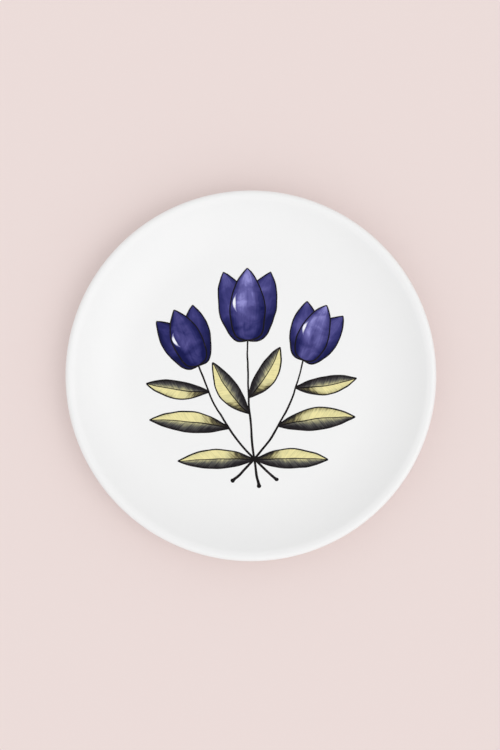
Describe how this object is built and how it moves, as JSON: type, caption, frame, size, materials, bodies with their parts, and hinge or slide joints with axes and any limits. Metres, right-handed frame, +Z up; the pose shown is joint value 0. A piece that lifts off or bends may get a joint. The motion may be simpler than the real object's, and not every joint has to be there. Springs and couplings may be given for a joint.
{
  "type": "serving plate",
  "caption": "Round white coupe serving plate with a curved wall, a rounded lip and a foot ring, with a painted flower posy on its floor, for serving food at the table.",
  "frame": {"origin": "centre of the foot ring's standing face, on the table", "axes": "+Z up along the plate's axis, +Y towards the top of the painted posy, +X to its right"},
  "size_m": [0.28, 0.28, 0.0259],
  "materials": {
    "clay": "bare fired clay",
    "white_glaze": "satin gloss",
    "ink": "fired black line",
    "light_leaf_wash": "fired colour",
    "dark_leaf_wash": "fired colour",
    "petal_wash": "fired colour",
    "back_petal_wash": "fired colour",
    "white_dab": "fired colour"
  },
  "bodies": {
    "root": {"clay_body": "clay", "glaze_coat": "white_glaze", "base_glaze": "white_glaze", "stems": "ink", "leaf_1_light": "light_leaf_wash", "leaf_1_dark": "dark_leaf_wash", "leaf_1_outline": "ink", "leaf_2_light": "light_leaf_wash", "leaf_2_dark": "dark_leaf_wash", "leaf_2_outline": "ink", "leaf_3_light": "light_leaf_wash", "leaf_3_dark": "dark_leaf_wash", "leaf_3_outline": "ink", "leaf_4_light": "light_leaf_wash", "leaf_4_dark": "dark_leaf_wash", "leaf_4_outline": "ink", "leaf_5_light": "light_leaf_wash", "leaf_5_dark": "dark_leaf_wash", "leaf_5_outline": "ink", "leaf_6_light": "light_leaf_wash", "leaf_6_dark": "dark_leaf_wash", "leaf_6_outline": "ink", "leaf_7_light": "light_leaf_wash", "leaf_7_dark": "dark_leaf_wash", "leaf_7_outline": "ink", "leaf_8_light": "light_leaf_wash", "leaf_8_dark": "dark_leaf_wash", "leaf_8_outline": "ink", "tulip_left_front_petal": "petal_wash", "tulip_left_left_petal": "back_petal_wash", "tulip_left_right_petal": "back_petal_wash", "tulip_left_outline": "ink", "tulip_centre_front_petal": "petal_wash", "tulip_centre_left_petal": "back_petal_wash", "tulip_centre_right_petal": "back_petal_wash", "tulip_centre_outline": "ink", "tulip_right_front_petal": "petal_wash", "tulip_right_left_petal": "back_petal_wash", "tulip_right_right_petal": "back_petal_wash", "tulip_right_outline": "ink", "highlights": "white_dab"}
  },
  "joints": []
}
